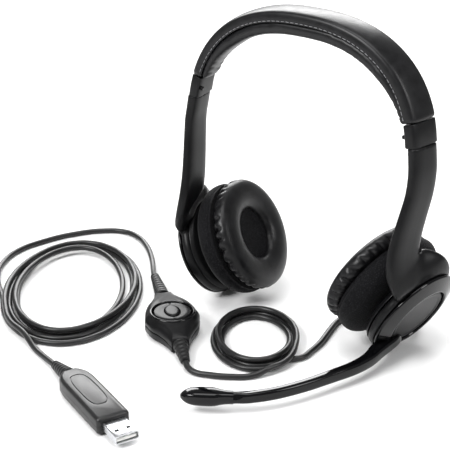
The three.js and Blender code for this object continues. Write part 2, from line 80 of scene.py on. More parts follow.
# ---- materials ----
class Nodes:
    """A principled material whose bump and roughness come from a few procedural textures."""

    def __init__(self, name, color, roughness, metallic=0.0, specular=0.5):
        self.material = bpy.data.materials.new(name)
        self.material.use_nodes = True
        self.tree = self.material.node_tree
        self.shader = self.tree.nodes["Principled BSDF"]
        self.shader.inputs["Base Color"].default_value = (*color, 1)
        self.shader.inputs["Roughness"].default_value = roughness
        self.shader.inputs["Metallic"].default_value = metallic
        self.shader.inputs["Specular IOR Level"].default_value = specular
        self.place = self.add("ShaderNodeTexCoord").outputs["Object"]

    def add(self, kind, **settings):
        node = self.tree.nodes.new(kind)
        for key, value in settings.items():
            if key in node.inputs:
                node.inputs[key].default_value = value
            else:
                setattr(node, key, value)
        return node

    def link(self, a, b):
        self.tree.links.new(a, b)
        return self

    def noise(self, scale, detail=3.0, stretch=(1, 1, 1), rough=0.5):
        mapping = self.add("ShaderNodeMapping")
        mapping.inputs["Scale"].default_value = stretch
        self.link(self.place, mapping.inputs["Vector"])
        node = self.add("ShaderNodeTexNoise", Scale=scale, Detail=detail, Roughness=rough)
        self.link(mapping.outputs["Vector"], node.inputs["Vector"])
        return node.outputs["Fac"]

    def cells(self, scale, feature="F1"):
        node = self.add("ShaderNodeTexVoronoi", Scale=scale, feature=feature)
        self.link(self.place, node.inputs["Vector"])
        return node.outputs["Distance"]

    def ramp(self, value, stops):
        node = self.add("ShaderNodeValToRGB")
        elements = node.color_ramp.elements
        while len(elements) < len(stops):
            elements.new(0.5)
        for element, (position, color) in zip(elements, stops):
            element.position = position
            element.color = (*color, 1) if len(color) == 3 else color
        self.link(value, node.inputs["Fac"])
        return node.outputs["Color"]

    def spread(self, value, low, high):
        node = self.add("ShaderNodeMapRange")
        node.inputs["To Min"].default_value = low
        node.inputs["To Max"].default_value = high
        self.link(value, node.inputs["Value"])
        return node.outputs["Result"]

    def bump(self, value, distance_mm, strength=1.0, after=None):
        node = self.add("ShaderNodeBump", Strength=strength, Distance=distance_mm * MM)
        self.link(value, node.inputs["Height"])
        if after:
            self.link(after, node.inputs["Normal"])
        self.link(node.outputs["Normal"], self.shader.inputs["Normal"])
        return node.outputs["Normal"]

    def color(self, value):
        return self.link(value, self.shader.inputs["Base Color"])

    def roughness(self, value):
        return self.link(value, self.shader.inputs["Roughness"])


def leather():
    m = Nodes("leather", (0.006, 0.006, 0.007), 0.32, specular=0.3)
    grain = m.cells(1500, "F1")
    broad = m.noise(220, 4)
    m.color(m.ramp(broad, [(0.3, (0.003, 0.003, 0.0035)), (0.75, (0.009, 0.009, 0.010))]))
    m.roughness(m.spread(broad, 0.28, 0.44))
    normal = m.bump(grain, 0.05, 0.35)
    m.bump(broad, 0.12, 0.4, normal)
    return m.material


def satin_plastic():
    m = Nodes("satin_plastic", (0.006, 0.006, 0.0065), 0.36, specular=0.2)
    spark = m.noise(4200, 2)
    cloud = m.noise(60, 3)
    m.color(m.ramp(cloud, [(0.35, (0.004, 0.004, 0.0045)), (0.7, (0.007, 0.007, 0.0075))]))
    m.roughness(m.spread(cloud, 0.3, 0.4))
    m.bump(spark, 0.015, 0.35)
    return m.material


def gloss_plastic():
    m = Nodes("gloss_plastic", (0.002, 0.002, 0.0025), 0.07, specular=0.3)
    smear = m.noise(90, 4, (1, 2.5, 1))
    m.color(m.ramp(smear, [(0.3, (0.0015, 0.0015, 0.002)), (0.8, (0.003, 0.003, 0.0035))]))
    m.roughness(m.spread(smear, 0.045, 0.11))
    m.bump(m.noise(25, 2), 0.05, 0.08)
    return m.material


def knit():
    m = Nodes("knit", (0.008, 0.008, 0.009), 0.8, specular=0.1)
    weave = m.cells(900, "DISTANCE_TO_EDGE")
    m.color(m.ramp(weave, [(0.0, (0.002, 0.002, 0.0025)), (0.35, (0.013, 0.013, 0.0145))]))
    m.bump(weave, 0.25, 0.9)
    m.shader.inputs["Sheen Weight"].default_value = 0.06
    m.shader.inputs["Sheen Roughness"].default_value = 0.4
    return m.material


def rubber(name, level, rough):
    m = Nodes(name, (level, level, level * 1.04), rough, specular=0.4)
    dust = m.noise(300, 4)
    m.color(m.ramp(dust, [(0.3, (level * 0.8,) * 3), (0.75, (level * 1.3, level * 1.3, level * 1.36))]))
    m.roughness(m.spread(dust, rough - 0.06, rough + 0.08))
    m.bump(m.noise(2600, 2), 0.02, 0.3)
    return m.material


def steel():
    m = Nodes("steel", (0.62, 0.63, 0.65), 0.24, metallic=1.0)
    brush = m.noise(500, 3, (1, 14, 1))
    m.roughness(m.spread(brush, 0.16, 0.34))
    m.color(m.ramp(brush, [(0.3, (0.55, 0.56, 0.58)), (0.7, (0.72, 0.73, 0.75))]))
    m.bump(brush, 0.01, 0.3)
    return m.material


def board():
    m = Nodes("board", (0.02, 0.12, 0.045), 0.4)
    tracks = m.cells(500, "DISTANCE_TO_EDGE")
    m.color(m.ramp(tracks, [(0.04, (0.05, 0.2, 0.08)), (0.1, (0.015, 0.1, 0.04))]))
    m.bump(tracks, 0.05, 0.4)
    return m.material


def insulator():
    m = Nodes("insulator", (0.85, 0.85, 0.82), 0.45)
    m.roughness(m.spread(m.noise(400), 0.38, 0.52))
    m.bump(m.noise(1500), 0.01, 0.3)
    return m.material


def thread():
    m = Nodes("thread", (0.22, 0.22, 0.23), 0.7)
    twist = m.noise(3000, 2)
    m.color(m.ramp(twist, [(0.3, (0.12, 0.12, 0.13)), (0.7, (0.32, 0.32, 0.33))]))
    m.bump(twist, 0.05, 0.6)
    return m.material


LOOKS = {
    "leather": leather(),
    "satin": satin_plastic(),
    "gloss": gloss_plastic(),
    "textile": knit(),
    "rubber": rubber("rubber", 0.012, 0.34),
    "grip": rubber("grip", 0.012, 0.42),
    "steel": steel(),
    "board": board(),
    "insulator": insulator(),
    "thread": thread(),
}
# Parts under the band and behind the cushions that are blacker than their material slot.
DARK_PARTS = {"baffle": "textile", "end_cap_screw": "satin"}

for part in frame["record"]["subparts"]:
    mesh = frame["nodes"][part["node"]].data
    mesh.materials.clear()
    kind = part["node"].split("_", 1)[-1]
    mesh.materials.append(LOOKS[DARK_PARTS.get(kind, part["material_slot"])])


# ---- pieces ----
def piece(obj, look, body, replaces=()):
    obj.data.materials.clear()
    obj.data.materials.append(LOOKS[look])
    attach(obj, body)
    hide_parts(*replaces)
    return obj


def mesh_object(name, points, faces, sharp_deg=35):
    """points are layout millimetres; edges sharper than sharp_deg stay crisp."""
    mesh = bpy.data.meshes.new(name)
    mesh.from_pydata([at(*p) for p in points], [], faces)
    bm = bmesh.new()
    bm.from_mesh(mesh)
    bmesh.ops.recalc_face_normals(bm, faces=bm.faces)
    bm.to_mesh(mesh)
    bm.free()
    mesh.shade_smooth()
    mesh.set_sharp_from_angle(angle=math.radians(sharp_deg))
    obj = bpy.data.objects.new(name, mesh)
    bpy.context.scene.collection.objects.link(obj)
    return obj


def skin(rings, closed=False, capped=True):
    """Faces over a list of rings that all hold the same number of points."""
    count = len(rings[0])
    faces = []
    spans = len(rings) if closed else len(rings) - 1
    for i in range(spans):
        a, b = i * count, ((i + 1) % len(rings)) * count
        faces += [(a + j, a + (j + 1) % count, b + (j + 1) % count, b + j) for j in range(count)]
    if capped and not closed:
        faces += [tuple(range(count)), tuple(range(len(rings) * count - count, len(rings) * count))]
    return [p for ring in rings for p in ring], faces


def soften(profile, radius=0.5, steps=3, closed=False):
    """Rounds the corners of a profile of (radius, height) points; the ends of an open one stay."""
    points = [Vector(p) for p in profile]
    made = []
    for i, corner in enumerate(points):
        if not closed and i in (0, len(points) - 1):
            made.append(corner)
            continue
        before, after = points[i - 1] - corner, points[(i + 1) % len(points)] - corner
        reach = min(radius, before.length * 0.45, after.length * 0.45)
        start, end = corner + before.normalized() * reach, corner + after.normalized() * reach
        for k in range(steps + 1):
            t = k / steps
            made.append(start * (1 - t) ** 2 + corner * 2 * t * (1 - t) + end * t * t)
    return [tuple(p) for p in made]


def turned_rings(profile, segments=72):
    """Rings round the local +Z axis, one for each segment of the turn."""
    rings = []
    for i in range(segments):
        a = 2 * math.pi * i / segments
        rings.append([(r * math.cos(a), r * math.sin(a), s) for r, s in profile])
    return rings


def placed(points, matrix):
    return [tuple(matrix @ Vector(p)) for p in points]


def turned(name, profile, matrix, segments=72, closed=True):
    """A turned solid. An open profile starts and ends on the axis."""
    points, faces = skin(turned_rings(profile, segments), closed=True)
    if not closed:
        count = len(profile)
        wrap = set(range(count - 1, count * segments, count))
        faces = [f for f in faces if not (f[0] in wrap and f[1] % count == 0)]
    obj = mesh_object(name, placed(points, matrix), faces)
    if not closed:
        bm = bmesh.new()
        bm.from_mesh(obj.data)
        bmesh.ops.remove_doubles(bm, verts=bm.verts, dist=1e-6)
        bmesh.ops.dissolve_degenerate(bm, edges=bm.edges, dist=1e-7)
        bmesh.ops.recalc_face_normals(bm, faces=bm.faces)
        bm.to_mesh(obj.data)
        bm.free()
    return obj


def spline(points, per_span=8):
    """A smooth curve through points (Catmull-Rom)."""
    p = [Vector(q) for q in points]
    p = [p[0] * 2 - p[1]] + p + [p[-1] * 2 - p[-2]]
    made = []
    for i in range(1, len(p) - 2):
        for k in range(per_span):
            t = k / per_span
            a, b, c, d = p[i - 1], p[i], p[i + 1], p[i + 2]
            made.append(0.5 * (
                2 * b + (c - a) * t + (2 * a - 5 * b + 4 * c - d) * t**2
                + (3 * b - a - 3 * c + d) * t**3
            ))
    return made + [p[-2]]


def oval(across, through, sides=28, power=2.0):
    ring = []
    for i in range(sides):
        a = 2 * math.pi * i / sides
        u, v = math.cos(a), math.sin(a)
        ring.append((
            across / 2 * math.copysign(abs(u) ** (2 / power), u),
            through / 2 * math.copysign(abs(v) ** (2 / power), v),
        ))
    return ring


def loft(name, stations, sides=28, power=2.0, sharp_deg=35):
    """stations: (centre, width direction, width, thickness). The section is square to the path."""
    rings = []
    for i, (centre, side, width, thick) in enumerate(stations):
        before, after = stations[max(i - 1, 0)][0], stations[min(i + 1, len(stations) - 1)][0]
        ahead = (after - before).normalized()
        u = (side - ahead * side.dot(ahead)).normalized()
        v = ahead.cross(u)
        rings.append([tuple(centre + u * a + v * b) for a, b in oval(width, thick, sides, power)])
    return mesh_object(name, *skin(rings), sharp_deg)


# ---- cords ----
CORD = 3.2
FLOOR_Z = CORD / 2 + 0.1
HEADSET_RUN = [
    (53.6, 31.4, 2.6), (53.1, 32.6, 2.4), (50.9, 36.4, FLOOR_Z), (46.5, 38.6, FLOOR_Z),
    (40.5, 36.6, FLOOR_Z), (34, 31.6, FLOOR_Z), (28, 26.5, FLOOR_Z), (22.6, 21.2, FLOOR_Z),
    (19.2, 15, FLOOR_Z), (18.8, 8.5, FLOOR_Z), (20.3, 0.5, FLOOR_Z), (22.4, -8, FLOOR_Z),
    (24.4, -17, FLOOR_Z), (25.3, -26, FLOOR_Z), (25.4, -34, FLOOR_Z),
]
SMALL_COIL = {"x": -4.8, "y": -33.6, "across": 24.0, "deep": 32.5}
MIDDLE_RUN = [
    (20.9, -56.2, FLOOR_Z), (15.5, -65, FLOOR_Z), (7.5, -72, FLOOR_Z), (-2, -77, FLOOR_Z),
    (-9.8, -79.4, FLOOR_Z), (-14.6, -78.6, 2.4), (-17.9, -76.3, 3.1),
]
UPPER_RUN = [
    (-93.9, -9.4, 3.2), (-97.9, -5.6, 2.4), (-103.5, 0.6, FLOOR_Z), (-114.5, 12, FLOOR_Z),
    (-128, 23, FLOOR_Z), (-139, 28.8, FLOOR_Z), (-150, 30, FLOOR_Z), (-162, 23.5, FLOOR_Z),
    (-174, 7.5, FLOOR_Z), (-181.5, -12, FLOOR_Z), (-184, -29, FLOOR_Z), (-180, -45.5, FLOOR_Z),
    (-170, -60.5, FLOOR_Z),
]
BIG_COIL = {"x": -121.5, "y": -49.5, "across": 40, "deep": 64}
PLUG_RUN = [
    (-98, -108.4, FLOOR_Z), (-90.5, -110.6, FLOOR_Z), (-83.5, -113.0, FLOOR_Z), (-76.4, -115.5, 2.2),
    (-69.6, -118.0, 2.8),
]
# The cord runs on through the plug's strain relief and ends inside its body.
INTO_PLUG = [(-64, -120, 3.4), (-57, -123, 4.2), (-50.5, -125.6, 4.9)]
COIL_TURN = math.radians(37)


def coil_point(coil, degrees, inset, height):
    """A point on the coil, inset mm inside its outer edge; degrees run from the coil's narrow axis."""
    a = math.radians(degrees)
    u = (coil["across"] - inset) * math.cos(a)
    v = (coil["deep"] - inset) * math.sin(a)
    return (
        coil["x"] + u * math.cos(COIL_TURN) - v * math.sin(COIL_TURN),
        coil["y"] + u * math.sin(COIL_TURN) + v * math.cos(COIL_TURN),
        height,
    )


def between(value, table):
    """Smooth steps between the (position, value) pairs of a table."""
    for (a, low), (b, high) in zip(table, table[1:]):
        if value <= b:
            t = max(0.0, (value - a) / (b - a))
            return low + (high - low) * t * t * (3 - 2 * t)
    return table[-1][1]


def coil_route(coil, start, end, inset, height):
    """inset and height are tables over the number of turns done; 20 points to a turn."""
    total = abs(end - start) / 360
    count = round(total * 20)
    route = []
    for i in range(count + 1):
        turns = total * i / count
        degrees = start + (end - start) * i / count
        route.append(coil_point(coil, degrees, between(turns, inset), between(turns, height)))
    return route


def cord(name, route, nodes):
    curve = bpy.data.curves.new(name, "CURVE")
    curve.dimensions = "3D"
    curve.bevel_depth = CORD / 2 * MM
    curve.bevel_resolution = 5
    curve.resolution_u = 8
    curve.use_fill_caps = True
    line = curve.splines.new("BEZIER")
    line.bezier_points.add(len(route) - 1)
    for knot, place in zip(line.bezier_points, route):
        knot.co = at(*place)
        knot.handle_left_type = knot.handle_right_type = "AUTO"
    obj = bpy.data.objects.new(name, curve)
    bpy.context.scene.collection.objects.link(obj)
    piece(obj, "rubber", "right_earpiece", nodes)
    return obj


# Clockwise from the headset: an outer turn on the surface, an inner one, then one on top that
# steps out again.
SMALL_TURNS = coil_route(
    SMALL_COIL, -45, -75 - 3 * 360,
    [(0.0, 1.7), (0.5, 1.8), (1.0, 5.1), (1.6, 6.8), (2.1, 5.6), (2.6, 3.4), (2.9, 2.4), (3.09, -1.9)],
    [(0.0, FLOOR_Z), (1.75, FLOOR_Z), (2.05, 4.9), (2.85, 5.0), (3.09, 3.9)],
)
# Counter-clockwise from the left-hand side: four turns, the last over the others and out to the plug.
BIG_TURNS = coil_route(
    BIG_COIL, 190, 190 + 360 * 4 + 50,
    [
        (0.0, 1.7), (0.22, 2.6), (0.5, 1.7), (0.8, 1.8), (1.0, 5.4), (1.25, 8.0), (1.55, 5.6), (1.8, 5.9),
        (2.0, 9.8), (2.25, 13.2), (2.5, 11.6), (2.75, 13.0), (3.0, 9.0), (3.25, 11.0), (3.5, 4.3),
        (3.8, 6.6), (4.0, 3.4), (4.14, 0.5),
    ],
    [(0.0, FLOOR_Z), (2.45, FLOOR_Z), (2.75, 4.9), (4.0, 4.9), (4.14, 4.6)],
)


def make_cords():
    headset_route = HEADSET_RUN + SMALL_TURNS + MIDDLE_RUN[1:]
    headset_nodes = ["cord_run_headset", "cord_small_coil", "cord_run_middle"]
    cord("cord_headset", headset_route, headset_nodes)
    plug_route = UPPER_RUN + BIG_TURNS + PLUG_RUN[1:] + INTO_PLUG
    plug_nodes = ["cord_run_upper", "cord_big_coil", "cord_run_plug"]
    cord("cord_plug", plug_route, plug_nodes)


# ---- headband ----
ARCH = {"half_width": 66.5, "rise": 63, "base": 104, "power": 2.4}
TOE_IN = math.tan(math.radians(9)) / ARCH["half_width"]
LEAN = 0.06


def stance(x, y, z):
    """Both arms toe in alike, and the band and the arms lean back."""
    return Vector((x * (1 + TOE_IN * y), y + LEAN * (z - ARCH["base"]), z))


def arch_point(angle, offset, y):
    c, s = math.cos(angle), math.sin(angle)
    x = math.copysign(ARCH["half_width"] * abs(c) ** (2 / ARCH["power"]), c)
    z = ARCH["rise"] * abs(s) ** (2 / ARCH["power"])
    k = ARCH["power"] - 1
    across = math.copysign(abs(x / ARCH["half_width"]) ** k / ARCH["half_width"], c)
    upward = (z / ARCH["rise"]) ** k / ARCH["rise"]
    size = math.hypot(across, upward)
    return tuple(stance(x + offset * across / size, y, ARCH["base"] + z + offset * upward / size))


def arch_angle(z):
    return math.asin(((z - ARCH["base"]) / ARCH["rise"]) ** (ARCH["power"] / 2))


def band(name, section, start_z, stations, sharp_deg=40):
    """section(angle) gives the closed loop of (y, offset) points at that place along the band."""
    start = arch_angle(start_z)
    rings = []
    for i in range(stations + 1):
        angle = start + (math.pi - 2 * start) * i / stations
        rings.append([arch_point(angle, offset, y) for y, offset in section(angle)])
    return mesh_object(name, *skin(rings), sharp_deg)


def from_end(angle):
    return min(angle, math.pi - angle)


def cover_section(_):
    """Crowned on top, with an edge roll down each side."""
    half, top = 9.3, 5.4
    loop = [(-half + 1.2, -1.3), (-half + 0.35, -1.0), (-half + 0.05, 0.2)]
    loop += [(-half, 2.2), (-half + 0.35, 3.8), (-half + 1.2, 4.7)]
    loop += [(y, 4.85 + (top - 4.85) * (1 - (y / (half - 2)) ** 2)) for y in (-6, -3, 0, 3, 6)]
    return loop + [(-y, offset) for y, offset in reversed(loop[:6])]


def pad_section(angle):
    """The foam under the band: thin at its ends, with a rounded belly over the head."""
    t = min(1.0, max(0.0, (from_end(angle) - arch_angle(128)) / (arch_angle(156) - arch_angle(128))))
    depth = -4.6 - 2.9 * t * t * (3 - 2 * t)
    half, back = 8.7, -1.5
    loop = [(-half + 0.5, back + 0.6), (-half, back), (-half - 0.1, back * 0.6 + depth * 0.4)]
    loop += [(-half + 0.1, back * 0.3 + depth * 0.7), (-half + 1.3, depth + 0.5)]
    loop += [(y, depth - 0.3 * (1 - (y / half) ** 2)) for y in (-5, -2.5, 0, 2.5, 5)]
    return loop + [(-y, offset) for y, offset in reversed(loop[:5])]


def inflate(obj, voxel_mm, cap_mm, pressure=4.0, frames=14, subdivide=1):
    """Voxel remesh, then a short cloth run under inner pressure that moves no point over cap_mm."""
    remesh = obj.modifiers.new("Remesh", "REMESH")
    remesh.mode = "VOXEL"
    remesh.voxel_size = voxel_mm * MM
    apply_modifiers(obj)
    rest = np.array([v.co for v in obj.data.vertices])
    cloth = obj.modifiers.new("Cloth", "CLOTH")
    cloth.settings.use_pressure = True
    cloth.settings.uniform_pressure_force = pressure
    cloth.settings.effector_weights.gravity = 0
    cloth.settings.quality = 4
    cloth.settings.mass = 0.15
    cloth.point_cache.frame_start = 1
    cloth.point_cache.frame_end = frames
    scene = bpy.context.scene
    for step in range(1, frames + 1):
        scene.frame_set(step)
    held = obj.evaluated_get(bpy.context.evaluated_depsgraph_get())
    moved = np.array([v.co for v in held.data.vertices]) - rest
    size = np.linalg.norm(moved, axis=1, keepdims=True)
    moved *= np.minimum(1.0, cap_mm * MM / np.maximum(size, 1e-9))
    obj.modifiers.remove(cloth)
    obj.data.vertices.foreach_set("co", (rest + moved).ravel())
    obj.data.update()
    scene.frame_set(1)
    smooth = obj.modifiers.new("Smooth", "SMOOTH")
    smooth.factor = 0.5
    smooth.iterations = 4
    divide = obj.modifiers.new("Divide", "SUBSURF")
    divide.levels = divide.render_levels = subdivide
    apply_modifiers(obj)
    obj.data.shade_smooth()
    return obj


def apply_modifiers(obj):
    made = bpy.data.meshes.new_from_object(obj.evaluated_get(bpy.context.evaluated_depsgraph_get()))
    obj.modifiers.clear()
    obj.data = made


def move_points(obj, change):
    """change(x, y, z) in layout millimetres gives each point's new place."""
    mesh = obj.data
    for v in mesh.vertices:
        x, y, z = v.co / MM
        v.co = at(*change(x, y - LAYOUT_Y, z))
    mesh.update()


def wrinkle(x, y, z):
    """Short folds in the leather at both ends of the pad, where it is drawn in behind the end caps."""
    low = between(z, [(126, 0.0), (130, 1.0), (139, 0.8), (150, 0.0)])
    inner = between(abs(x), [(50, 0.2), (58, 1.0)])
    fold = math.sin(1.9 * z + 0.35 * y + 1.2 * math.sin(0.5 * y)) * 0.5 + 0.5
    k = 0.55 * low * inner * fold**3
    return x + math.copysign(k, x), y, z


def stitches(name, line, length, gap, thick, body):
    """A row of short threads along a line of points."""
    rings, faces, run = [], [], 0.0
    marks = [(line[0], 0.0)]
    for a, b in zip(line, line[1:]):
        run += (b - a).length
        marks.append((b, run))

    def place(distance):
        for (p, start), (q, end) in zip(marks, marks[1:]):
            if distance <= end:
                return p.lerp(q, (distance - start) / max(end - start, 1e-9))
        return marks[-1][0]

    distance = gap
    while distance + length < run:
        a, b = place(distance), place(distance + length)
        ahead = (b - a).normalized()
        side = ahead.orthogonal().normalized()
        up = ahead.cross(side)
        base = len(rings)
        for t, k in ((0, 0.45), (0.2, 1.0), (0.8, 1.0), (1, 0.45)):
            c = a.lerp(b, t)
            for q in range(6):
                outward = side * math.cos(q * math.pi / 3) + up * math.sin(q * math.pi / 3)
                rings.append(tuple(c + outward * thick / 2 * k))
        for i in range(3):
            low, high = base + i * 6, base + i * 6 + 6
            faces += [(low + j, low + (j + 1) % 6, high + (j + 1) % 6, high + j) for j in range(6)]
        faces += [tuple(base + j for j in range(6)), tuple(base + 18 + j for j in range(6))]
        distance += length + gap
    return piece(mesh_object(name, rings, faces, 60), "thread", body)


# How far along an end cap each ring is, and how far its edge is drawn in there.
CAP_EDGES = ((0, 0.3), (0.02, 0.08), (0.05, 0), (0.5, 0), (0.95, 0), (0.98, 0.08), (1, 0.3))


def make_headband():
    cover = band("headband_leather", cover_section, 128.0, 72)
    divide = cover.modifiers.new("Divide", "SUBSURF")
    divide.levels = divide.render_levels = 1
    apply_modifiers(cover)
    piece(cover, "leather", "headband", ["headband_cover"])
    pad = inflate(band("headband_foam", pad_section, 128.3, 60), 1.6, 0.6)
    move_points(pad, wrinkle)
    piece(pad, "leather", "headband", ["headband_pad"])
    start = arch_angle(129.5)
    for edge, y in (("front", -9.36), ("back", 9.36)):
        line = []
        for i in range(181):
            angle = start + (math.pi - 2 * start) * i / 180
            line.append(Vector(arch_point(angle, -0.1, y)))
        stitches("headband_stitch_" + edge, line, 1.9, 0.9, 0.36, "headband")
    for side, name in SIDES:
        rings = []
        low, high = arch_angle(117.0), arch_angle(128.1)
        for t, inset in CAP_EDGES:
            angle = low + (high - low) * t
            angle = angle if side > 0 else math.pi - angle
            section = oval(18.0 - 2 * inset, 7.0 - 2 * inset, 48, 5)
            rings.append([arch_point(angle, 1.4 + offset, y) for y, offset in section])
        cap = mesh_object(name + "_end_cap_skin", *skin(rings), 30)
        piece(cap, "satin", "headband", [name + "_end_cap"])


# ---- ear pieces ----
CUP = {"x": 48.4, "y": 9, "z": 33.2, "tilt": 27, "yaw": 10}


def cup_frame(side):
    """Local +X points up in the cup's plane, +Z along its outward axis; the origin is the cup's middle."""
    tilt, yaw = math.radians(CUP["tilt"]), math.radians(CUP["yaw"])
    out = Vector((side * math.cos(tilt) * math.cos(yaw), -math.cos(tilt) * math.sin(yaw), -math.sin(tilt)))
    level = -Vector((math.sin(yaw), side * math.cos(yaw), 0))
    up = level.cross(out)
    basis = Matrix((up, level, out)).transposed().to_4x4()
    return Matrix.Translation((side * CUP["x"], CUP["y"], CUP["z"])) @ basis


ARM_STATIONS = [
    ((67.9, -0.1, 117.1), 18.4, 7.0), ((68.9, -0.1, 110), 18.6, 6.8), ((69.7, -0.4, 103), 19.0, 6.5),
    ((69.5, -1.0, 93), 19.4, 6.3), ((68.4, -2.8, 82), 20.0, 6.3), ((67.5, -4.7, 72), 20.8, 6.5),
    ((67.4, -6.4, 63), 22.0, 6.8), ((68.2, -6.6, 56), 24.0, 7.2), ((69.4, -3.8, 51), 29.0, 7.8),
    ((70.4, 1.4, 46.5), 35.5, 8.2), ((69.6, 5.8, 42), 40.0, 8.6), ((67.6, 8.0, 38), 42.0, 8.0),
]


def make_arm(side, name):
    matrix = cup_frame(side)
    centres = spline([stance(side * x, y, z) for (x, y, z), _, _ in ARM_STATIONS], 4)
    sizes = spline([(width, thick, 0) for _, width, thick in ARM_STATIONS], 4)
    stations = [(c, Vector((TOE_IN * c.x, 1, 0)), size.x, size.y) for c, size in zip(centres, sizes)]
    blade = loft(name + "_arm_skin", stations, 36, 3.2)
    voxel = 0.6 * MM
    whole = blade.modifiers.new("Whole", "REMESH")
    whole.mode = "VOXEL"
    whole.voxel_size = voxel
    housing = [
        (0, 14.7), (20, 14.7), (24.6, 14.5), (26.0, 15.2), (26.6, 17.0), (26.6, 18.8), (26.2, 19.5),
        (0, 19.5),
    ]
    shell = turned("housing_blank", housing, matrix, 64, closed=False)
    cushion_room = [(0, -40), (33.4, -40), (33.4, 8.6), (27, 10.2), (0, 10.2)]
    plate_room = [(0, -10), (26.3, -10), (26.3, 14.5), (0, 14.5)]
    ring_room = [(0, 19.5), (40, 19.5), (40, 60), (0, 60)]
    room = turned("cushion_room", cushion_room, matrix, 64, closed=False)
    inner = turned("plate_room", plate_room, matrix, 64, closed=False)
    ring = turned("ring_room", ring_room, matrix, 64, closed=False)
    for cutter in (room, inner, ring):
        boolean = blade.modifiers.new("Cut", "BOOLEAN")
        boolean.operation = "DIFFERENCE"
        boolean.object = cutter
        boolean.solver = "EXACT"
    apply_modifiers(blade)
    join_meshes(blade, shell)
    for tool in (shell, room, inner, ring):
        bpy.data.objects.remove(tool)
    remesh = blade.modifiers.new("Remesh", "REMESH")
    remesh.mode = "VOXEL"
    remesh.voxel_size = voxel
    apply_modifiers(blade)
    foot = blade.vertex_groups.new(name="foot")
    centre, out = matrix.translation, matrix.to_3x3() @ Vector((0, 0, 1))
    for v in blade.data.vertices:
        place = v.co / MM - Vector((0, LAYOUT_Y, 0))
        from_axis = (place - centre - out * (place - centre).dot(out)).length
        near = between(from_axis, [(19, 0.0), (23, 1.0), (31, 1.0), (38, 0.0)])
        weight = near * between(place.z, [(30, 0.0), (38, 1.0)])
        foot.add([v.index], weight, "REPLACE")
    for group, iterations in (("foot", 24), ("", 5)):
        smooth = blade.modifiers.new("Smooth", "SMOOTH")
        smooth.factor = 0.5
        smooth.iterations = iterations
        smooth.vertex_group = group
    apply_modifiers(blade)
    blade.data.shade_smooth()
    piece(blade, "satin", name + "_earpiece", [name + "_arm"])


def join_meshes(target, other):
    bm = bmesh.new()
    bm.from_mesh(target.data)
    bm.from_mesh(other.data)
    bm.to_mesh(target.data)
    bm.free()


def cup_piece(name, profile, side, look, body, nodes, closed=True, segments=96):
    obj = turned(name, profile, cup_frame(side), segments, closed)
    return piece(obj, look, body, nodes)


def cushion_blank():
    """The ring of foam in its own frame, centred on the axis."""
    profile = []
    for i in range(24):
        a = 2 * math.pi * i / 24
        u, v = math.cos(a), math.sin(a)
        profile.append((
            22.5 + 8.8 * math.copysign(abs(u) ** 0.92, u), -10.0 + 5.5 * math.copysign(abs(v) ** 0.85, v),
        ))
    return profile


def pleat(point, pleats=32):
    """Gathers the leather where it is drawn round the outer edge to the plate behind."""
    x, y, s = point
    r, a = math.hypot(x, y), math.atan2(y, x)
    outer = between(r, [(25.0, 0.0), (30.0, 1.0)])
    weight = outer * between(s, [(-12.5, 0.0), (-7.5, 1.0), (-4.6, 1.0), (-3.4, 0.5)])
    wander = 0.5 * math.sin(3 * a + 0.7) + 0.35 * math.sin(7 * a + 2.1)
    crease = 1 - abs(math.sin(pleats / 2 * a + wander + 0.12 * s))
    depth = 2.1 * weight * crease**1.8 * (0.75 + 0.25 * math.sin(5 * a + 1.3))
    swell = 0.35 * weight * (1 - crease)
    k = (r - depth + swell) / max(r, 1e-6)
    return x * k, y * k, s - 0.25 * depth


def make_cushions():
    """One ring is blown up by the cloth run, then laid into both cups."""
    blank = turned("ear_cushion_blank", cushion_blank(), Matrix.Translation((0, -LAYOUT_Y, 0)), 96)
    inflate(blank, 1.5, 0.7, frames=12)
    local = [pleat(tuple(v.co / MM)) for v in blank.data.vertices]
    for side, name in SIDES:
        obj = bpy.data.objects.new(name + "_cushion_leather", blank.data.copy())
        bpy.context.scene.collection.objects.link(obj)
        matrix = cup_frame(side)
        for v, p in zip(obj.data.vertices, local):
            v.co = at(*(matrix @ Vector(p)))
        if side < 0:
            obj.data.update()
        obj.data.shade_smooth()
        piece(obj, "leather", name + "_cup", [name + "_ear_cushion"])
    bpy.data.objects.remove(blank)


def make_cup(side, name):
    body = name + "_cup"
    back = soften([
        (5.8, 1.2), (5.8, 5.2), (20, 4.6), (27.2, 2.4), (28.2, -3.2), (29.6, -3.6), (31.1, -2.0),
        (31.4, 0.6), (30.6, 3.6), (28.2, 6.2), (23.5, 7.9), (16, 8.6), (6.2, 8.9),
    ], 1.4, 4, closed=True)
    cup_piece(name + "_cup_shell", back, side, "textile", body, [name + "_cup_back"])
    cloth = soften([(0, -9.0), (9, -9.2), (15.2, -10.4), (16.8, -9.8), (16.2, -9.2), (0, -8.4)], 0.6, 3)
    cup_piece(name + "_grille_textile", cloth, side, "textile", body, [name + "_grille_cloth"], closed=False)
    plate = [(4.6, 10.9), (20.5, 10.7), (24.4, 11.9), (26.1, 14.3), (23.8, 14.4), (20.4, 12.4), (4.6, 12.4)]
    plate = soften(plate, 0.9, 4, closed=True)
    cup_piece(name + "_housing_plate", plate, side, "satin", name + "_earpiece", [name + "_housing_back"])
    disc = [
        (0, 20), (16.7, 20), (17.1, 22.2), (16.9, 22.9), (16.3, 23.25), (15.2, 23.3), (14.4, 23.05),
        (13.8, 22.95), (0, 22.95),
    ]
    profile = soften(disc, 0.35, 3)
    nodes = [name + "_cap_disc"]
    cup_piece(name + "_cap_disc_skin", profile, side, "satin", name + "_earpiece", nodes, closed=False)


RING = [
    (8.6, 19.8), (25.6, 19.8), (26.3, 20.1), (26.5, 20.8), (26.1, 21.6), (18.9, 24.1), (17.9, 24.1),
    (17.5, 23.3), (17.5, 21.7), (8.6, 21.6),
]


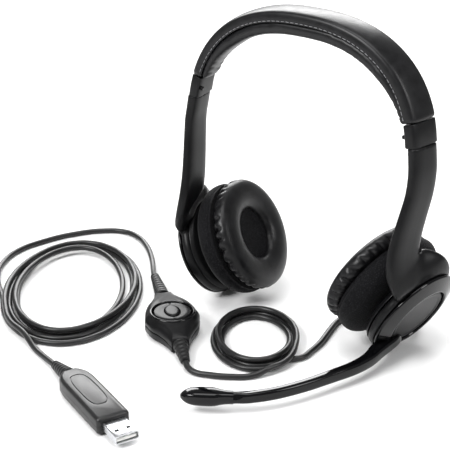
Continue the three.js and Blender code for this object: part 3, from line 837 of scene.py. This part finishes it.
def make_rings():
    profile = soften(RING, 0.35, 4, closed=True)
    cup_piece("left_ring_gloss", profile, -1, "gloss", "left_earpiece", ["left_trim_ring"])
    cup_piece("boom_ring_gloss", profile, 1, "gloss", "boom", ["boom_ring"])


BOOM_STATIONS = [
    ((59.4, 1.6, 9.4), 6.4, 3.2), ((59.6, -1.4, 10.2), 8.6, 5.2), ((59.7, -5, 10.6), 9.6, 6.3),
    ((59.5, -11, 10.1), 9.2, 6.7), ((59.6, -18, 9.4), 8.0, 6.6), ((59.9, -27, 8.6), 6.6, 6.5),
    ((58.0, -38, 8.3), 5.8, 6.3), ((53.6, -51, 8.3), 5.3, 6.1), ((48.2, -66, 8.4), 5.0, 5.9),
    ((41.4, -80, 8.5), 4.9, 5.7), ((33.4, -91, 8.6), 5.0, 5.6), ((26.0, -97.8, 8.8), 5.2, 5.6),
]


def make_boom():
    centres = spline([s[0] for s in BOOM_STATIONS], 6)
    sizes = spline([(s[1], s[2], 0) for s in BOOM_STATIONS], 6)
    stations = [(c, Vector((0.8, 0.6, 0)), size.x, size.y) for c, size in zip(centres, sizes)]
    piece(loft("boom_arm_gloss", stations, 40, 3.4), "gloss", "boom", ["boom_arm"])
    start, tip = Vector((27.6, -96.6, 8.9)), Vector((6.3, -110.6, 9.0))
    ahead = tip - start
    shape = [
        (0.0, 5.4, 5.8), (0.12, 5.6, 6.0), (0.24, 6.8, 6.6), (0.36, 8.6, 7.4), (0.5, 9.0, 7.6),
        (0.7, 8.7, 7.4), (0.84, 7.4, 6.4), (0.94, 4.6, 4.4), (1.0, 1.6, 1.8),
    ]
    stations = [
        (start + ahead * t, Vector((0.8, 0.6, 0)), w, h)
        for t, w, h in ((p.x, p.y, p.z) for p in spline(shape, 4))
    ]
    head = loft("mic_head", stations, 40, 3.4)
    piece(head, "gloss", "boom", ["mic_housing"])
    side = Vector((-0.55, 0.84, 0)).normalized()
    port = [
        (start + ahead * t + side * 3.4 + Vector((0, 0, 0.9)), Vector((0, 0, 1)), w, 1.2)
        for t, w in ((0.44, 0.5), (0.47, 1.3), (0.62, 1.3), (0.65, 0.5))
    ]
    piece(loft("mic_port", port, 16, 3.0), "textile", "boom")


# ---- control and plug ----
def flat_frame(x, y, turn_deg):
    return Matrix.Translation((x, y, 0)) @ Matrix.Rotation(math.radians(turn_deg), 4, "Z")


def slab(name, outline, layers, matrix, sharp_deg=35):
    """outline(inset) gives a closed loop; layers are (height, inset) from below to above."""
    rings = [[tuple(matrix @ Vector((x, y, z))) for x, y in outline(inset)] for z, inset in layers]
    return mesh_object(name, *skin(rings), sharp_deg)


def four_ways(quarter):
    """A loop from a quarter outline that starts on the +Y axis and ends at +X."""
    points = [(p[0], p[1]) for p in quarter]
    back = list(reversed(points))
    loop = points + [(x, -y) for x, y in back] + [(-x, -y) for x, y in points[1:]]
    return loop + [(-x, y) for x, y in back[:-1]]


def ribbed_relief(name, start, end, wide, narrow, ribs, body, nodes, look="rubber", flat=1.0):
    """A tapered strain relief with notches cut round it."""
    start, end = Vector(start), Vector(end)
    ahead = end - start
    side = ahead.cross(Vector((0, 0, 1))).normalized()
    stations = [(start - ahead * 0.02, side, wide * 0.9, wide * 0.9)]
    steps = ribs * 8
    for i in range(steps + 1):
        t = i / steps
        radius = wide + (narrow - wide) * t
        phase = (t * ribs) % 1.0
        notch = 0.0
        if 0.06 < t < 0.94:
            from_rib = abs(phase - 0.5)
            notch = 0.22 * wide * max(0.0, math.cos(from_rib * math.pi / 0.46)) if from_rib < 0.23 else 0.0
        stations.append((start + ahead * t, side, radius - notch, (radius - notch) * flat))
    stations.append((end + ahead * 0.008, side, narrow * 0.8, narrow * 0.8))
    return piece(loft(name, stations, 32, 2.0, 50), look, body, nodes)


CONTROL = {"x": -47.4, "y": -50.4, "turn": -41.3, "lower": 24.5, "upper": 33.0}


def control_outline(inset):
    corners = [(0, 15, 0), (8, 12.9, 0), (14.5, 8.9, 0), (19.5, 6.4, 0), (CONTROL["lower"], 4.7, 0)]
    quarter = spline(corners, 7)
    loop = four_ways([(p.x, p.y) for p in quarter])
    stretch = CONTROL["upper"] / CONTROL["lower"]
    loop = [(x if x > 0 else x * stretch, y) for x, y in loop]
    return [(x * (1 - inset / 27), y * (1 - inset / 13)) for x, y in loop]


def low_ends(obj, matrix):
    """The case is thickest in the middle and slopes down to both necks."""
    back = matrix.inverted()
    for v in obj.data.vertices:
        place = v.co / MM - Vector((0, LAYOUT_Y, 0))
        x = (back @ place).x
        drop = between(abs(x) * (0.78 if x < 0 else 1.0), [(10, 0.0), (25, 0.27)])
        v.co.z *= 1 - drop
    obj.data.update()


def make_control():
    matrix = flat_frame(CONTROL["x"], CONTROL["y"], CONTROL["turn"])
    body = "right_earpiece"
    lower = [(0.3, 2.6), (0.6, 1.4), (1.4, 0.5), (2.8, 0.1), (4.6, 0.0), (5.2, 0.1), (5.35, 0.5)]
    base = slab("control_case_lower", control_outline, lower, matrix, 30)
    low_ends(base, matrix)
    piece(base, "satin", body, ["control_bottom_shell"])
    top = slab(
        "control_case_upper", control_outline,
        [
            (5.75, 0.5), (5.9, 0.1), (6.3, 0.0), (8.2, 0.15), (9.8, 0.7), (11.0, 1.7), (11.8, 3.0),
            (12.2, 4.6), (12.3, 6.4),
        ],
        matrix, 30,
    )
    low_ends(top, matrix)
    well = [(0, 8.7), (9.8, 8.7), (10.5, 8.9), (10.7, 11.4), (11.2, 12.0), (11.9, 12.6), (12.2, 20), (0, 20)]
    cut(top, turned("control_well", well, matrix, 72, closed=False))
    piece(top, "satin", body, ["control_top_shell"])
    rim = [
        (10.75, 11.0), (10.8, 12.1), (11.1, 12.6), (11.6, 12.75), (12.1, 12.5), (12.4, 12.0), (12.2, 11.2),
    ]
    piece(turned("control_rim", soften(rim, 0.3, 3, True), matrix, 80), "gloss", body)
    rocker = [
        (0, 9.5), (9.7, 9.5), (10.05, 10), (10.05, 11.6), (9.7, 12.3), (8.9, 12.6), (7.4, 12.4), (0, 12.1),
    ]
    dial = turned("rocker_dial", rocker, matrix, 80, closed=False)
    hole = slab("rocker_hole", lambda i: oval(13.8, 9.0, 48), [(9.0, 0), (15, 0)], matrix)
    marks = [
        slab(
            "rocker_mark", lambda i, x=x: [(u + x, v) for u, v in oval(w, h, 16, 3)],
            [(12.15, 0), (14, 0)], matrix,
        )
        for x, w, h in ((8.4, 0.5, 2.6), (8.4, 1.5, 0.5), (-8.4, 1.5, 0.5))
    ]
    cut(dial, hole, *marks)
    piece(dial, "satin", "volume_rocker", ["volume_rocker"])
    key = slab(
        "mute_key", lambda i: oval(12.8 - 2 * i, 8.0 - 2 * i, 48),
        [(10.1, 0.3), (10.3, 0), (12.2, 0), (12.7, 0.2), (13.0, 0.7), (13.1, 1.5), (13.05, 3.4)], matrix,
    )
    piece(key, "satin", "mute_button", ["mute_button"])
    necks = ((CONTROL["lower"] - 0.5, 38.3, "lower"), (-CONTROL["upper"] + 0.5, -60.9, "upper"))
    for start_x, tip_x, name in necks:
        start, end = matrix @ Vector((start_x, 0, 4.8)), matrix @ Vector((tip_x, 0, 3.3))
        ribs = 5 if name == "lower" else 8
        nodes = ["control_" + name + "_relief"]
        ribbed_relief("control_" + name + "_boot", start, end, 8.2, 5.0, ribs, body, nodes, "grip")


def cut(obj, *tools):
    for tool in tools:
        boolean = obj.modifiers.new("Cut", "BOOLEAN")
        boolean.operation = "DIFFERENCE"
        boolean.object = tool
        boolean.solver = "EXACT"
    apply_modifiers(obj)
    for tool in tools:
        bpy.data.objects.remove(tool)
    obj.data.shade_smooth()
    obj.data.set_sharp_from_angle(angle=math.radians(30))


PLUG = {"x": -53.5, "y": -124.4, "turn": -22.4, "z": 5.0}


def plug_outline(inset):
    side = spline([(0, 3.6, 0), (2, 5.6, 0), (5.5, 7.6, 0), (11, 8.5, 0)], 5)
    points = [(p.x, p.y) for p in side]
    points += [(x, 8.5) for x in (20, 30, 40)]
    points += [(48.7 + 1.6 * math.sin(a), 6.9 + 1.6 * math.cos(a)) for a in np.linspace(0, math.pi / 2, 6)]
    loop = points + [(x, -y) for x, y in reversed(points)]
    middle = 25
    return [(middle + (x - middle) * (1 - inset / 24), y * (1 - inset / 8.5)) for x, y in loop]


def make_plug():
    matrix = flat_frame(PLUG["x"], PLUG["y"], PLUG["turn"])
    body = "right_earpiece"
    layers = [(0.4, 1.9), (0.7, 1.0), (1.3, 0.35), (2.2, 0), (4.9, 0), (5.0, 0.12), (5.1, 0)]
    layers += [(7.8, 0), (8.7, 0.35), (9.3, 1.0), (9.6, 1.9)]
    handle = slab("plug_handle", plug_outline, layers, matrix, 30)
    groove = slab(
        "plug_groove", lambda i: [(x + 23, y) for x, y in oval(31, 10.4, 64, 3.2)],
        [(9.25, 0), (12, 0)], matrix,
    )
    cut(handle, groove)
    piece(handle, "rubber", body, ["plug_body"])
    inlay = slab(
        "plug_inlay", lambda i: [(x + 23, y) for x, y in oval(30 - 2 * i, 9.4 - 2 * i, 64, 3.2)],
        [(8.9, 0), (9.45, 0), (9.6, 0.15), (9.65, 0.5)], matrix,
    )
    piece(inlay, "rubber", body)
    start, end = matrix @ Vector((-0.3, 0, 5.0)), matrix @ Vector((-17.0, 0, 2.95))
    ribbed_relief("plug_boot", start, end, 8.4, 4.8, 6, body, ["plug_relief"], "grip")
    make_usb(matrix, body)


def make_usb(matrix, body):
    front, length, width, thick, wall = 50.8, 13.5, 12.0, 4.5, 0.45

    def shell_ring(across, through):
        return [(v, z) for v, z in oval(across, through, 48, 9)]

    outer, inner = shell_ring(width, thick), shell_ring(width - 2 * wall, thick - 2 * wall)
    rings = []
    for x, ring, k in (
        (0, inner, 0.2), (0, outer, 0.97), (0.15, outer, 1), (length - 0.2, outer, 1), (length, outer, 0.98),
        (length, inner, 1.02), (length - 0.3, inner, 1), (0.9, inner, 1), (0.9, inner, 0.2),
    ):
        rings.append([tuple(matrix @ Vector((front + x, v * k, PLUG["z"] + z * k))) for v, z in ring])
    shell = mesh_object("usb_sleeve", *skin(rings), 30)
    tools = []
    for y in (3, -3):
        tools.append(slab(
            "usb_window", lambda i, y=y: [(u + front + 8.6, v + y) for u, v in oval(2.2, 2.2, 16, 12)],
            [(-1, 0), (11, 0)], matrix,
        ))
    cut(shell, *tools)
    piece(shell, "steel", body, ["usb_shell"])
    stations = [
        (matrix @ Vector((front + x, 0, 4.4)), matrix.to_3x3() @ Vector((0, 1, 0)), w, t)
        for x, w, t in ((1.2, 10.2, 1.5), (1.3, 10.4, 1.7), (12.2, 10.4, 1.7), (12.6, 10.2, 1.1))
    ]
    piece(loft("usb_blade", stations, 40, 10), "insulator", body, ["usb_tongue"])
    contacts = []
    for k in (-1.5, -0.5, 0.5, 1.5):
        stations = [
            (matrix @ Vector((front + x, k * 2.1, 5.32)), matrix.to_3x3() @ Vector((0, 1, 0)), 1.1, 0.12)
            for x in (2.0, 11.6)
        ]
        contacts.append(loft("usb_contact", stations, 8, 8))
    for other in contacts[1:]:
        join_meshes(contacts[0], other)
        bpy.data.objects.remove(other)
    contacts[0].name = "usb_contacts"
    piece(contacts[0], "steel", body)


def make_cord_boot():
    path = [(55.75, 22.7, 6.9), (55.6, 23.5, 6.1), (55.2, 25.2, 4.6), (54.6, 28.0, 3.3), (53.7, 31.2, 2.75)]
    centres = spline(path, 8)
    count = len(centres) - 1
    stations = []
    for i, c in enumerate(centres):
        t = i / count
        width = 5.3 - 0.9 * t - (0.5 if i % 4 == 2 and 2 < i < count - 2 else 0.0)
        stations.append((c, Vector((1, 0.2, 0.2)), width, width))
    piece(loft("cord_boot", stations, 28, 2.0, 50), "grip", "right_earpiece", ["cord_relief"])


# ---- room ----
def make_room():
    floor = bpy.data.meshes.new("floor")
    size = 3.0
    corners = [(-size, -size, 0), (size, -size, 0), (size, size, 0), (-size, size, 0)]
    floor.from_pydata(corners, [], [(0, 1, 2, 3)])
    obj = bpy.data.objects.new("floor", floor)
    bpy.context.scene.collection.objects.link(obj)
    m = Nodes("floor_white", (0.93, 0.93, 0.93), 0.6, specular=0.2)
    m.roughness(m.spread(m.noise(30), 0.55, 0.65))
    floor.materials.append(m.material)
    world = bpy.data.worlds.new("studio")
    world.use_nodes = True
    world.node_tree.nodes["Background"].inputs["Color"].default_value = (1, 1, 1, 1)
    world.node_tree.nodes["Background"].inputs["Strength"].default_value = 0.3
    bpy.context.scene.world = world
    bpy.context.scene.view_settings.view_transform = "Standard"
    middle = at(-40, 0, 60)
    for name, azimuth, elevation, distance, width, height, watts in (
        ("key", -14, 42, 1.2, 0.5, 0.35, 11), ("side", 95, 35, 1.0, 0.25, 0.5, 3),
        ("top", 30, 84, 1.3, 0.8, 0.8, 9), ("back", 219, 27, 1.3, 1.1, 0.42, 16),
    ):
        turn, rise = math.radians(azimuth), math.radians(elevation)
        away = Vector((math.sin(turn) * math.cos(rise), -math.cos(turn) * math.cos(rise), math.sin(rise)))
        light = bpy.data.lights.new(name, "AREA")
        light.shape = "RECTANGLE"
        light.size, light.size_y = width, height
        light.energy = watts
        lamp = bpy.data.objects.new(name, light)
        lamp.location = middle + away * distance
        lamp.rotation_euler = away.to_track_quat("Z", "Y").to_euler()
        bpy.context.scene.collection.objects.link(lamp)


make_headband()
make_cushions()
for side, name in SIDES:
    make_arm(side, name)
    make_cup(side, name)
make_rings()
make_boom()
make_control()
make_plug()
make_cords(
)
make_cord_boot()
make_room()
